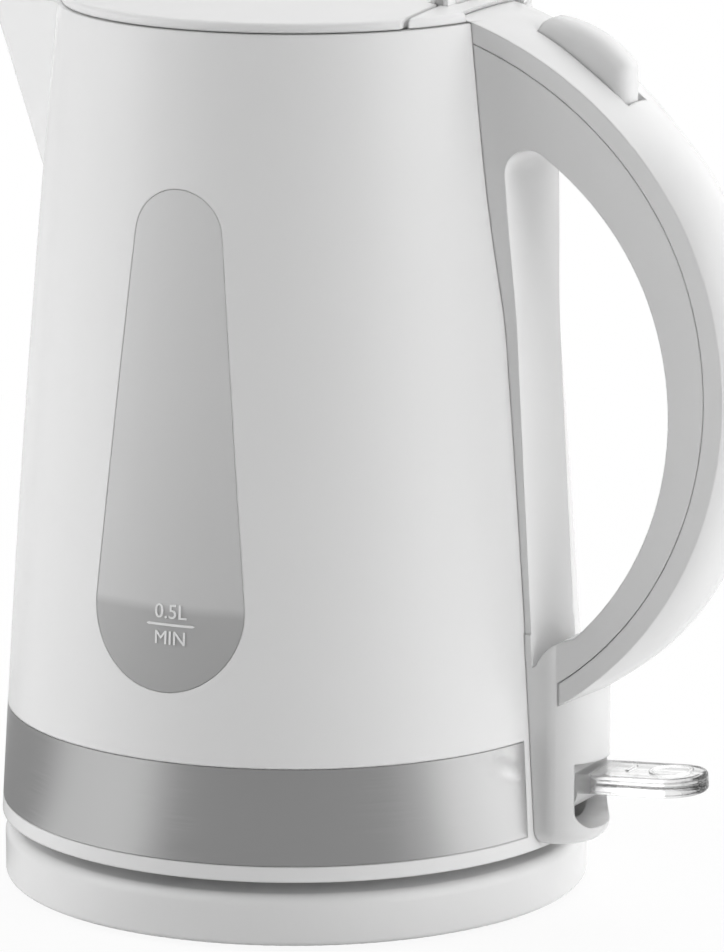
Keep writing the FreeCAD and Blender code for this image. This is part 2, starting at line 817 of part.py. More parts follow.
def button_slot(grow):
    """The opening in the handle's crown for the lid button."""
    low_radius = value(SEAM_RADIUS) - size("handle_wall")
    half = size("button_half_width") + grow
    front_low = handle_spot(low_radius, size("button_front_angle"))
    front_high = handle_spot(value(BUTTON_CREST), size("button_front_angle"))
    along = (front_high - front_low).normalize()
    forward = V(-along.z, 0, along.x) * grow
    rear_x = size("button_rear_x") + 1.5 * grow
    floor = handle_spot(low_radius, 0).z + low_radius / 2
    outline = [front_low + forward, front_high + forward, V(rear_x, 0, front_high.z), V(rear_x, 0, floor)]
    return plate([(p.x, p.z) for p in outline], half)


HANDLE_LAST = 80
HANDLE_FIRST = -62
HOLLOW_FIRST = -44
HOLLOW_LAST = 66
HANDLE_SCREW_ANGLES = (-36, 18)


def grip_radius_at(degrees):
    """How far the grip's inner face lies from the handle's centre, along this angle."""
    away = grip_axis() - handle_axis()
    direction = handle_spot(1, degrees) - handle_axis()
    along = away.dot(direction)
    return along + math.sqrt(size("grip_radius") ** 2 - away.Length ** 2 + along ** 2)


def handle_nose():
    """What is cut away in front of the handle's upper end, which leans back from the rim."""
    front, rim = size("handle_front"), size("jug_height")
    rise = size("root_half_width")
    outline = [(0, 0), (front, 0), (front, rim), (front + rise, rim + rise), (0, rim + rise)]
    return plate(outline, 2 * rise)


def nose_room(gap):
    """The space behind the slanted front face of the handle's upper end, grown by a gap."""
    front, rim, half = size("handle_front") - gap, size("jug_height"), size("root_half_width")
    far = front + 2 * half
    outline = [(front, 0), (far, 0), (far, rim + half), (front + half, rim + half), (front, rim)]
    return plate(outline, half + gap)


def make_handle():
    gap, wall = size("seam_gap"), size("handle_wall")
    jug_clear = jug_form(gap, -size("stand_gap"), size("jug_height") + gap)
    form = handle_form(0, HANDLE_FIRST, HANDLE_LAST)
    hollow = handle_form(wall, HOLLOW_FIRST, HOLLOW_LAST).cut(grip_drum(wall))
    screw_lines = [(a, handle_spot(1, a) - handle_axis()) for a in HANDLE_SCREW_ANGLES]

    frame = form.common(seam_drum(-gap / 2)).fuse(switch_housing(0)).fuse(spine_foot())
    rooms = [finger_opening(), housing_hollow(), lever_room(), arm_room()]
    frame = cut_all(frame, [jug_clear, hollow] + rooms)
    frame = frame.cut(lever_pin_shape(size("pin_gap")))
    for degrees, outward in screw_lines:
        seat = handle_spot(grip_radius_at(degrees) + wall / 2, degrees)
        frame = frame.cut(rod(size("screw_radius") + gap, seat, outward, 2 * wall))
        frame = frame.cut(rod(size("screw_head_radius") + gap, seat, -outward, 2 * wall))
    keep("handle_frame", shaped("handle_frame", frame.removeSplitter()), JUG_FLOOR)

    cover = form.cut(seam_drum(gap / 2))
    cover = cut_all(cover, [jug_clear, switch_housing(gap), lever_room(), hollow])
    cover = cover.cut(handle_nose())
    for degrees, outward in screw_lines:
        foot = grip_radius_at(degrees) + wall + gap
        length = crown_at(degrees) - wall / 2 - foot
        post = rod(size("boss_radius"), handle_spot(foot, degrees), outward, length)
        cover = cover.fuse(post)
        cover = cover.cut(rod(size("screw_radius") + size("pin_gap"), handle_spot(foot, degrees), outward,
                              size("screw_bite") + gap))
    for rib in button_ribs():
        cover = cover.fuse(rib)
    cover = cut_all(cover, [button_slot(gap * 1.75), button_pin_shape(size("pin_gap"))])
    keep("handle_cover", shaped("handle_cover", cover.removeSplitter()), JUG_FLOOR)

    fasteners = []
    for degrees, outward in screw_lines:
        seat = handle_spot(grip_radius_at(degrees) + wall / 2, degrees)
        fastener = screw(wall / 2 + gap)
        fastener.Placement = FreeCAD.Placement(seat, FreeCAD.Rotation(Z_AXIS, outward))
        fasteners.append(fastener)
    keep("handle_screws", shaped("handle_screws", Part.makeCompound(fasteners)), JUG_FLOOR)


# On/off lever

def lever_pin_shape(grow):
    half = size("housing_half_width") - size("housing_wall") / 2 + grow
    return rod(size("lever_pin_radius") + grow, lever_pivot() - Y_AXIS * half, Y_AXIS, 2 * half)


def make_lever():
    pivot, half = lever_pivot(), size("lever_half_width")
    reach, thick = size("lever_reach"), size("lever_thickness")
    tip = pivot + X_AXIS * (reach - half)
    outline = Part.Wire([
        Part.LineSegment(pivot - Y_AXIS * half, tip - Y_AXIS * half).toShape(),
        Part.Arc(tip - Y_AXIS * half, tip + X_AXIS * half, tip + Y_AXIS * half).toShape(),
        Part.LineSegment(tip + Y_AXIS * half, pivot + Y_AXIS * half).toShape(),
        Part.LineSegment(pivot + Y_AXIS * half, pivot - Y_AXIS * half).toShape(),
    ])
    paddle = Part.Face(outline).extrude(Z_AXIS * thick).translated(-Z_AXIS * size("lever_edge"))
    hub = rod(size("lever_hub_radius"), pivot - Y_AXIS * half, Y_AXIS, 2 * half)
    lever = hub.fuse(paddle).removeSplitter()
    past_hub = pivot.x + size("lever_hub_radius") + size("lever_edge")
    rims = [
        e for e in lever.Edges
        if e.BoundBox.XMax > past_hub and e.BoundBox.ZLength < 1e-6
    ]
    lever = lever.makeFillet(size("lever_edge"), rims)
    lever.rotate(pivot, Y_AXIS, -size("lever_tilt"))
    arm_half, arm_thick = size("lever_arm_half_width"), size("lever_arm_thickness")
    arm_end = pivot.x - size("lever_arm_reach") + size("running_gap") * 2
    arm = block(V(arm_end, -arm_half, pivot.z - arm_thick / 2),
                V(pivot.x, arm_half, pivot.z + arm_thick / 2))
    lever = lever.fuse(arm).cut(lever_pin_shape(size("pin_gap")))
    keep("switch_lever", shaped("switch_lever", lever.removeSplitter()), JUG_FLOOR)

    turn = FreeCAD.Rotation(X_AXIS, -90)
    pin_half = "(Dims.housing_half_width - Dims.housing_wall / 2)"
    pin = bound("Cylinder", "lever_pin", Radius="Dims.lever_pin_radius", Height=f"2 * {pin_half}")
    moved(pin, turn, x=LEVER_PIVOT, y=f"-{pin_half}")
    keep("lever_pin", pin, f"{JUG_FLOOR} + Dims.lever_pivot_z")

    lamp = bound("Cylinder", "indicator_lamp", Radius="Dims.lamp_radius", Height="Dims.lamp_length")
    moved(lamp, turn, x="Dims.skirt_radius - Dims.lamp_inset", y="-Dims.lamp_length / 2")
    lamp_seat = "Dims.lever_pivot_z - Dims.lever_slot_below + Dims.lamp_radius + Dims.seam_gap"
    keep("indicator_lamp", lamp, f"{JUG_FLOOR} + {lamp_seat}")

    plate_half = "(Dims.housing_half_width - Dims.housing_wall - Dims.seam_gap)"
    steam = bound("Box", "steam_bimetal", Length="Dims.steam_plate_thickness", Width=f"2 * {plate_half}",
                  Height="Dims.steam_plate_height")
    moved(steam, x=f"{HOUSING_SHOULDER} - Dims.housing_wall", y=f"-{plate_half}")
    steam_seat = f"{HOUSING_CEILING} - Dims.steam_plate_height - Dims.seam_gap"
    keep("steam_bimetal", steam, f"{JUG_FLOOR} + {steam_seat}")


# Lid, its hinge, and the fixed deck behind it

def lid_bottom():
    return value(LID_BOTTOM)


def hinge_axis():
    return V(size("hinge_x"), 0, value(HINGE_HEIGHT))


def dome(bottom, inset):
    """The lid's domed disc, part of a sphere, from a height up to its top less an inset."""
    radius, sphere, centre = size("lid_radius") - inset, value(DOME_RADIUS) - inset, value(DOME_CENTRE)

    def over(across):
        return V(across, 0, centre + math.sqrt(sphere ** 2 - across ** 2))

    foot, rim, peak = V(radius, 0, bottom), over(radius), over(0)
    edges = [
        Part.LineSegment(V(0, 0, bottom), foot).toShape(),
        Part.LineSegment(foot, rim).toShape(),
        Part.Arc(rim, over(radius / 2), peak).toShape(),
        Part.LineSegment(peak, V(0, 0, bottom)).toShape(),
    ]
    return Part.Face(Part.Wire(edges)).revolve(V(), Z_AXIS, 360)


def rounded_dome(bottom):
    """The lid's disc with its upper edge rounded."""
    solid = dome(bottom, 0)
    edge_top = value(DOME_CENTRE) + math.sqrt(value(DOME_RADIUS) ** 2 - size("lid_radius") ** 2)
    rims = [e for e in solid.Edges if abs(e.BoundBox.ZMin - edge_top) < 1e-4 and e.BoundBox.ZLength < 1e-4]
    return solid.makeFillet(size("lid_edge_round"), rims)


def half_space(low_x, half_width, high_x=None):
    """A tall block used to cut the lid and the deck across."""
    far = high_x or 2 * size("skirt_radius")
    return block(V(low_x, -half_width, 0), V(far, half_width, 2 * size("jug_height")))


def knuckle(low_y, high_y):
    return rod(size("knuckle_radius"), hinge_axis() + Y_AXIS * low_y, Y_AXIS, high_y - low_y)


def hinge_bore():
    reach = size("hinge_half_width") + size("running_gap")
    return rod(size("hinge_pin_radius") + size("pin_gap"), hinge_axis() - Y_AXIS * reach, Y_AXIS, 2 * reach)


def make_lid():
    axis, gap = hinge_axis(), size("running_gap")
    bottom, wall = lid_bottom(), size("lid_wall")
    wide = 2 * size("skirt_radius")
    chord = axis.x - size("hinge_chord_gap")
    notch_x = axis.x - size("knuckle_radius") - gap * 1.6
    notch_half = size("hinge_half_width") + gap
    skin = rounded_dome(bottom).cut(dome(bottom - wall, wall).cut(half_space(notch_x - 2 * wall, wide)))
    outer = cut_all(skin, [half_space(chord, wide), half_space(notch_x, notch_half)])
    low, high = size("spring_half_width"), size("knuckle_half_width")
    arm = block(V(notch_x - wall, low, bottom), V(axis.x, high, axis.z - size("pin_gap")))
    outer = outer.fuse(both_sides(knuckle(low, high).fuse(arm))).cut(hinge_bore())
    keep("lid_outer", shaped("lid_outer", outer.removeSplitter()), JUG_FLOOR)

    cup_radius, cup_wall = size("cup_radius"), size("cup_wall")
    cup_floor = size("jug_height") - size("cup_depth")
    rear = notch_x - 2 * wall - gap
    ceiling = dome(cup_floor, wall + size("seam_gap"))
    body = rod(cup_radius, V(0, 0, cup_floor), Z_AXIS, wide).common(ceiling).cut(half_space(rear, wide))
    inside = rod(cup_radius - cup_wall, V(0, 0, cup_floor + cup_wall), Z_AXIS, wide).cut(
        half_space(rear - cup_wall, wide))
    cup = body.cut(inside)
    cup = cup.fuse(catch_plate(rear))
    keep("lid_inner", shaped("lid_inner", cup.removeSplitter()), JUG_FLOOR)

    turn = FreeCAD.Rotation(X_AXIS, -90)
    pin = bound("Cylinder", "lid_hinge_pin", Radius="Dims.hinge_pin_radius",
                Height="2 * Dims.hinge_half_width")
    moved(pin, turn, x="Dims.hinge_x", y="-Dims.hinge_half_width")
    keep("lid_hinge_pin", pin, f"{JUG_FLOOR} + {HINGE_HEIGHT}")


def hook_bottom():
    return value(BUTTON_PIN) - size("arm_thickness") / 2 - size("hook_drop")


def catch_plate(rear):
    """The catch under the lid's rear wall: a plate with a window for the latch arm's hook."""
    half, bar, gap = size("catch_half_width"), size("catch_bar"), size("running_gap")
    window_floor = hook_bottom() - size("hook_clear")
    top = size("jug_height") - size("cup_depth") + size("cup_wall")
    window_top = value(BUTTON_PIN) + 2 * size("arm_thickness")
    thick = size("catch_thickness")
    tab = block(V(rear - thick, -half, window_floor - bar), V(rear, half, top))
    window_half = size("arm_half_width") + 3 * gap
    window = block(V(rear - 2 * thick, -window_half, window_floor),
                   V(rear + thick, window_half, window_top))
    return tab.cut(window)


def deck_crown():
    """The part of the deck above the rim: it carries the lid's dome on, as far as the handle."""
    axis, gap, rim = hinge_axis(), size("running_gap"), size("jug_height")
    inner = side_radius(rim) - size("jug_wall") - size("seam_gap")
    stem = rod(inner, V(0, 0, rim), Z_AXIS, gap)
    crown = rounded_dome(lid_bottom()).fuse(stem)
    crown = crown.common(half_space(axis.x + size("hinge_chord_gap"), size("lid_radius")))
    knuckle_half = size("knuckle_half_width") + gap
    knuckle_end = axis.x + size("knuckle_radius") + 1.6 * gap
    knuckle_room = half_space(axis.x, knuckle_half, knuckle_end)
    return cut_all(crown, [knuckle_room, nose_room(gap)])


def make_deck():
    """The fixed piece behind the lid, with the two lugs that hold the hinge pin."""
    axis, gap = hinge_axis(), size("running_gap")
    rim, thick = size("jug_height"), size("deck_thickness")
    radius = side_radius(rim) - size("jug_wall") - size("seam_gap")
    disc = rod(radius, V(0, 0, rim - thick), Z_AXIS, thick)
    behind = half_space(axis.x + size("hinge_chord_gap"), 2 * radius)
    tongue = half_space(axis.x - size("knuckle_radius"), size("hinge_half_width"))
    deck = disc.common(behind.fuse(tongue)).fuse(deck_crown())
    lug_low = size("knuckle_half_width") + gap
    post = block(V(axis.x - size("knuckle_radius"), lug_low, rim - thick / 2),
                 V(axis.x + size("knuckle_radius"), size("hinge_half_width"), axis.z))
    lug = knuckle(lug_low, size("hinge_half_width")).fuse(post)
    deck = deck.fuse(both_sides(lug)).cut(hinge_bore())
    keep("hinge_deck", shaped("hinge_deck", deck.removeSplitter()), JUG_FLOOR)


# Lid button and latch arm

def button_pin():
    return V(size("button_pin_x"), 0, value(BUTTON_PIN))


def button_pin_shape(grow):
    half = size("button_half_width") + size("rib_thickness") + size("running_gap") * 2
    return rod(size("button_pin_radius") + grow, button_pin() - Y_AXIS * half, Y_AXIS, 2 * half)


def upright(low_y, high_y, half_length, top_radius):
    """A flat strut from the button's pin out towards the crown."""
    pin = button_pin()
    outward = (pin - handle_axis()).normalize()
    across = V(-outward.z, 0, outward.x)
    start = (pin - handle_axis()).Length
    corners = []
    for side, radius in ((-1, start), (1, start), (1, top_radius), (-1, top_radius)):
        corners.append(handle_axis() + outward * radius + across * side * half_length + Y_AXIS * low_y)
    strut = Part.Face(Part.makePolygon(corners + corners[:1])).extrude(Y_AXIS * (high_y - low_y))
    return strut.fuse(rod(half_length, pin + Y_AXIS * low_y, Y_AXIS, high_y - low_y)).removeSplitter()


def button_ribs():
    """Two ribs under the crown that carry the button's pin."""
    low = size("button_half_width") + size("running_gap") * 2
    pin = button_pin() - handle_axis()
    top = crown_at(math.degrees(math.atan2(pin.z, pin.x))) - size("handle_wall") / 2
    rib = upright(low, low + size("rib_thickness"), size("hub_radius") + size("seam_gap"), top)
    return rib, rib.mirror(V(), Y_AXIS)


def make_button():
    half, edge = size("button_half_width"), size("button_edge")
    bottom, rear_x = value(BUTTON_BOTTOM), size("button_rear_x")
    axis = handle_axis()

    def over(radius, x):
        return V(x, -half, axis.z + math.sqrt(radius ** 2 - (x - axis.x) ** 2))

    front = size("button_front_angle")
    nose_low = handle_spot(bottom, front, -half)
    handle_edge = value(EDGE_RADIUS)
    nose_radius = handle_edge + size("button_nose_rise")
    rear_radius = handle_edge + size("button_rear_rise")
    nose_top = handle_spot(nose_radius, front - size("button_nose_angle"), -half)
    rear_top, rear_low = over(rear_radius, rear_x), over(bottom, rear_x)
    crest = over(value(BUTTON_CREST), (nose_top.x + rear_x) / 2)
    belly = over(bottom, (nose_low.x + rear_x) / 2)
    outline = Part.Wire([
        Part.LineSegment(nose_low, nose_top).toShape(),
        Part.Arc(nose_top, crest, rear_top).toShape(),
        Part.LineSegment(rear_top, rear_low).toShape(),
        Part.Arc(rear_low, belly, nose_low).toShape(),
    ])
    cap = Part.Face(outline).extrude(Y_AXIS * 2 * half)
    rims = [e for e in cap.Edges if out_from_axis(e.CenterOfMass) > bottom + edge]
    cap = cap.makeFillet(edge, rims)
    cheek = upright(half - size("cheek_thickness"), half, size("hub_radius"), bottom + edge)
    button = cap.fuse(both_sides(cheek)).cut(button_pin_shape(size("pin_gap")))
    keep("lid_button", shaped("lid_button", button.removeSplitter()), JUG_FLOOR)

    pin, arm_half, thick = button_pin(), size("arm_half_width"), size("arm_thickness")
    hub = rod(size("hub_radius"), pin - Y_AXIS * arm_half, Y_AXIS, 2 * arm_half)
    tip = size("arm_tip_x")
    bar = block(V(tip, -arm_half, pin.z - thick / 2), V(pin.x, arm_half, pin.z + thick / 2))
    hook = block(V(tip, -arm_half, hook_bottom()), V(tip + size("hook_length"), arm_half, pin.z))
    arm = hub.fuse(bar).fuse(hook).cut(button_pin_shape(size("pin_gap")))
    keep("latch_arm", shaped("latch_arm", arm.removeSplitter()), JUG_FLOOR)

    turn = FreeCAD.Rotation(X_AXIS, -90)
    pin_half = "(Dims.button_half_width + Dims.rib_thickness + Dims.running_gap * 2)"
    rod_pin = bound("Cylinder", "button_pin", Radius="Dims.button_pin_radius", Height=f"2 * {pin_half}")
    moved(rod_pin, turn, x="Dims.button_pin_x", y=f"-{pin_half}")
    keep("button_pin", rod_pin, f"{JUG_FLOOR} + {BUTTON_PIN}")


# Springs

def biarc(start, start_way, end, end_way):
    """Two arcs, tangent where they meet, between two points with given directions."""
    span, ways = end - start, start_way + end_way
    turn = 2 * (1 - start_way.dot(end_way))
    along = span.dot(ways)
    reach = (-along + math.sqrt(along ** 2 + turn * span.dot(span))) / turn
    joint = (start + end + (start_way - end_way) * reach) * 0.5
    arcs = []
    for point, way, other in ((start, start_way, joint), (end, -end_way, joint)):
        chord = other - point
        normal = (chord - way * chord.dot(way)).normalize()
        radius = chord.dot(chord) / (2 * chord.dot(normal))
        centre = point + normal * radius
        middle = centre + ((point + other) * 0.5 - centre).normalize() * radius
        arcs.append((point, middle, other))
    first, second = arcs
    return [Part.Arc(*first).toShape(), Part.Arc(*reversed(second)).toShape()]


def coil(radius, wire, pitch, turns, leg=0.0):
    """One unbroken wound wire about local Z, with straight legs at both ends if asked for."""
    quarters = int(turns * 4)

    def spot(quarter):
        angle = quarter * math.pi / 2
        return V(radius * math.cos(angle), radius * math.sin(angle), pitch * quarter / 4)

    def way(quarter):
        angle = quarter * math.pi / 2
        rise = pitch / (2 * math.pi * radius)
        return V(-math.sin(angle), math.cos(angle), rise).normalize()

    edges = []
    if leg:
        edges.append(Part.LineSegment(spot(0) - way(0) * leg, spot(0)).toShape())
    for quarter in range(quarters):
        edges += biarc(spot(quarter), way(quarter), spot(quarter + 1), way(quarter + 1))
    if leg:
        end = spot(quarters)
        edges.append(Part.LineSegment(end, end + way(quarters) * leg).toShape())
    path = Part.Wire(edges)
    start = edges[0].Vertexes[0].Point
    section = Part.Wire([Part.Circle(start, way(0), wire / 2).toShape()])
    shell = Part.BRepOffsetAPI.MakePipeShell(path)
    shell.add(section)
    shell.build()
    shell.makeSolid()
    return shell.shape()


def least_gap(radius, wire, pitch, turns):
    """The least clear distance between one turn and the next, measured on points of the wire's line."""
    samples = 48
    line = []
    for i in range(int(turns * samples) + 1):
        angle = 2 * math.pi * i / samples
        line.append(V(radius * math.cos(angle), radius * math.sin(angle), pitch * i / samples))
    near = [
        line[i].distanceToPoint(line[j])
        for i in range(len(line)) for j in range(i + samples // 2, min(i + 2 * samples, len(line)))
    ]
    return min(near) - wire


def make_springs():
    gap = size("seam_gap")
    degrees = size("button_spring_angle")
    foot = grip_radius_at(degrees) + size("handle_wall") + gap
    wire, turns = size("button_spring_wire"), size("button_spring_turns")
    radius = size("button_spring_radius")
    length = value(BUTTON_BOTTOM) - foot - gap - wire
    pitch = length / turns
    spring = coil(radius, wire, pitch, turns)
    outward = handle_spot(1, degrees) - handle_axis()
    seat, turn = handle_spot(foot + wire / 2, degrees), FreeCAD.Rotation(Z_AXIS, outward)
    spring.Placement = FreeCAD.Placement(seat, turn)
    keep("button_spring", shaped("button_spring", Part.makeCompound([spring])), JUG_FLOOR)
    print("button spring least gap", round(least_gap(radius, wire, pitch, turns), 2))

    wire, turns, radius = size("lid_spring_wire"), size("lid_spring_turns"), size("lid_spring_radius")
    length = 2 * size("spring_half_width") - 2 * size("seam_gap") - wire
    pitch = length / turns
    spring = coil(radius, wire, pitch, turns, size("lid_spring_leg"))
    stand = hinge_axis() - Y_AXIS * length / 2
    spring.Placement = FreeCAD.Placement(stand, FreeCAD.Rotation(Z_AXIS, Y_AXIS))
    keep("lid_spring", shaped("lid_spring", Part.makeCompound([spring])), JUG_FLOOR)
    print("lid spring least gap", round(least_gap(radius, wire, pitch, turns), 2))


# Jug floor: heater, control, bottom cover and coupler

def make_floor():
    plate_outline = [
        ("0", PLATE_BOTTOM), (PLATE_RADIUS, PLATE_BOTTOM), (PLATE_RADIUS, PLATE_TOP),
        (f"{ELEMENT_RADIUS} + 2 * Dims.element_tube", PLATE_TOP),
        (f"{ELEMENT_RADIUS} + Dims.element_tube", f"{PLATE_TOP} + Dims.plate_rise"),
        (f"{ELEMENT_RADIUS} - Dims.element_tube", f"{PLATE_TOP} + Dims.plate_rise"),
        (f"{ELEMENT_RADIUS} - 2 * Dims.element_tube", PLATE_TOP), ("0", PLATE_TOP),
    ]
    keep("heater_plate", turned("heater_plate", plate_outline), JUG_FLOOR)

    lip = f"{PLATE_RADIUS} + Dims.seam_gap"
    inner = f"{PLATE_RADIUS} - Dims.seal_width"
    keep("plate_seal", turned("plate_seal", [
        (inner, PLATE_TOP), (lip, PLATE_TOP), (lip, PLATE_BOTTOM), (SEAL_OUTER, PLATE_BOTTOM),
        (SEAL_OUTER, "Dims.ledge_height"), (inner, "Dims.ledge_height"),
    ]), JUG_FLOOR)

    top, thick = value(PLATE_BOTTOM), size("clamp_thickness")
    outer = value(SEAL_OUTER)
    ring = rod(outer, V(0, 0, top - thick), Z_AXIS, thick).cut(
        rod(outer - size("clamp_width"), V(0, 0, top - thick), Z_AXIS, thick))
    places = boss_places(CLAMP_BOSS_ANGLE)
    for place in places:
        along = V(place).normalize()
        ear = rod(size("boss_radius"), place + V(0, 0, top - thick), Z_AXIS, thick)
        across = V(-along.y, along.x, 0) * size("boss_radius")
        root = along * (outer - size("clamp_width") / 2)
        corners = [root - across, place - across, place + across, root + across]
        corners = [V(c.x, c.y, top - thick) for c in corners]
        bridge = Part.Face(Part.makePolygon(corners + corners[:1])).extrude(Z_AXIS * thick)
        ring = ring.fuse(ear).fuse(bridge)
        foot = place + V(0, 0, top - 2 * thick)
        ring = ring.cut(rod(size("screw_radius") + size("seam_gap"), foot, Z_AXIS, 3 * thick))
    keep("clamp_ring", shaped("clamp_ring", ring.removeSplitter()), JUG_FLOOR)
    keep("clamp_screws", shaped("clamp_screws", screws(places, top - thick, thick)), JUG_FLOOR)

    element_z = f"({PLATE_BOTTOM} - Dims.element_tube - Dims.seam_gap / 2)"
    ring = bound("Torus", "element_ring", Radius1=ELEMENT_RADIUS, Radius2="Dims.element_tube",
                 Angle3="Dims.element_sweep")
    ends = []
    for i, angle in enumerate(("0", "Dims.element_sweep")):
        terminal = bound("Cylinder", f"element_terminal_{i}", Radius="Dims.element_terminal_radius",
                         Height="Dims.element_terminal_length")
        moved(terminal, x=f"{ELEMENT_RADIUS} * cos({angle} * 1 deg)",
              y=f"{ELEMENT_RADIUS} * sin({angle} * 1 deg)", z="-Dims.element_terminal_length")
        ends.append(terminal)
    element = doc.addObject("Part::MultiFuse", "heating_element")
    element.Shapes = [ring] + ends
    element.Placement = FreeCAD.Placement(V(), FreeCAD.Rotation(Z_AXIS, 210))
    keep("heating_element", element, f"{JUG_FLOOR} + {element_z}")

    control_low = f"({COUPLER_TOP} + Dims.running_gap)"
    drum = bound("Cylinder", "control_drum", Radius="Dims.control_radius", Height="Dims.control_depth")
    brick = bound("Box", "control_brick", Length="Dims.control_length", Width="Dims.control_width",
                  Height="Dims.control_depth - Dims.control_step")
    moved(brick, x="-Dims.control_length / 2", y="-Dims.control_width / 2", z="Dims.control_step")
    keep("control_body", joined("Fuse", "control_body", drum, brick), f"{JUG_FLOOR} + {control_low}")

    discs = []
    for i, side in enumerate((-1, 1)):
        disc = bound("Cylinder", f"bimetal_{i}", Radius="Dims.bimetal_radius",
                     Height="Dims.bimetal_thickness")
        moved(disc, x=f"{side} * Dims.bimetal_spread")
        discs.append(disc)
    keep("control_bimetals", compound("control_bimetals", *discs),
         f"{JUG_FLOOR} + {control_low} + Dims.control_depth")

    cover_radius = "(Dims.skirt_radius - Dims.jug_wall - 2 * Dims.seam_gap)"
    rest = "(Dims.running_gap - Dims.stand_gap)"
    rest_outer = "(Dims.rest_inner + Dims.rest_width)"
    hole = "(Dims.coupler_radius + Dims.running_gap)"
    disc = turned("bottom_cover_disc", [
        (hole, "Dims.cover_lift"), ("Dims.rest_inner", "Dims.cover_lift"), ("Dims.rest_inner", rest),
        (rest_outer, rest), (rest_outer, "Dims.cover_lift"), (cover_radius, "Dims.cover_lift"),
        (cover_radius, COVER_TOP), (hole, COVER_TOP),
    ])
    places = boss_places(COVER_BOSS_ANGLE)
    head_seat = value(COVER_TOP) - size("cover_thickness") + size("screw_head_height") / 2
    grip = value(COVER_TOP) - head_seat
    holes = [screw_room(p, head_seat, 2 * grip) for p in places]
    rooms = shaped("bottom_cover_holes", Part.makeCompound(holes))
    keep("bottom_cover", joined("Cut", "bottom_cover", disc, rooms), JUG_FLOOR)
    keep("bottom_screws", shaped("bottom_screws", screws(places, head_seat, grip)), JUG_FLOOR)

    room = "(Dims.connector_radius + Dims.coupler_room)"
    flange = "(Dims.coupler_radius + Dims.coupler_flange_width)"
    flange_low = f"({COVER_TOP} + Dims.running_gap)"
    flange_high = f"({flange_low} + Dims.coupler_flange_thickness)"
    keep("jug_coupler", turned("jug_coupler", [
        (room, "-Dims.coupler_drop"), ("Dims.coupler_radius", "-Dims.coupler_drop"),
        ("Dims.coupler_radius", flange_low), (flange, flange_low), (flange, flange_high),
        ("Dims.coupler_radius", flange_high), ("Dims.coupler_radius", COUPLER_TOP), ("0", COUPLER_TOP),
        ("0", COUPLER_ROOF), (room, COUPLER_ROOF),
    ]), JUG_FLOOR)

    pin = bound("Cylinder", "coupler_pin", Radius="Dims.coupler_pin_radius",
                Height="Dims.coupler_pin_length")
    ring_outer = "(Dims.slot_outer - 2 * Dims.contact_wall)"
    ring = tube("coupler_ring", ring_outer, f"{ring_outer} - Dims.contact_wall", "Dims.coupler_pin_length")
    keep("coupler_contacts", compound("coupler_contacts", pin, ring),
         f"{JUG_FLOOR} + {COUPLER_ROOF} - Dims.coupler_pin_length")


# Power base

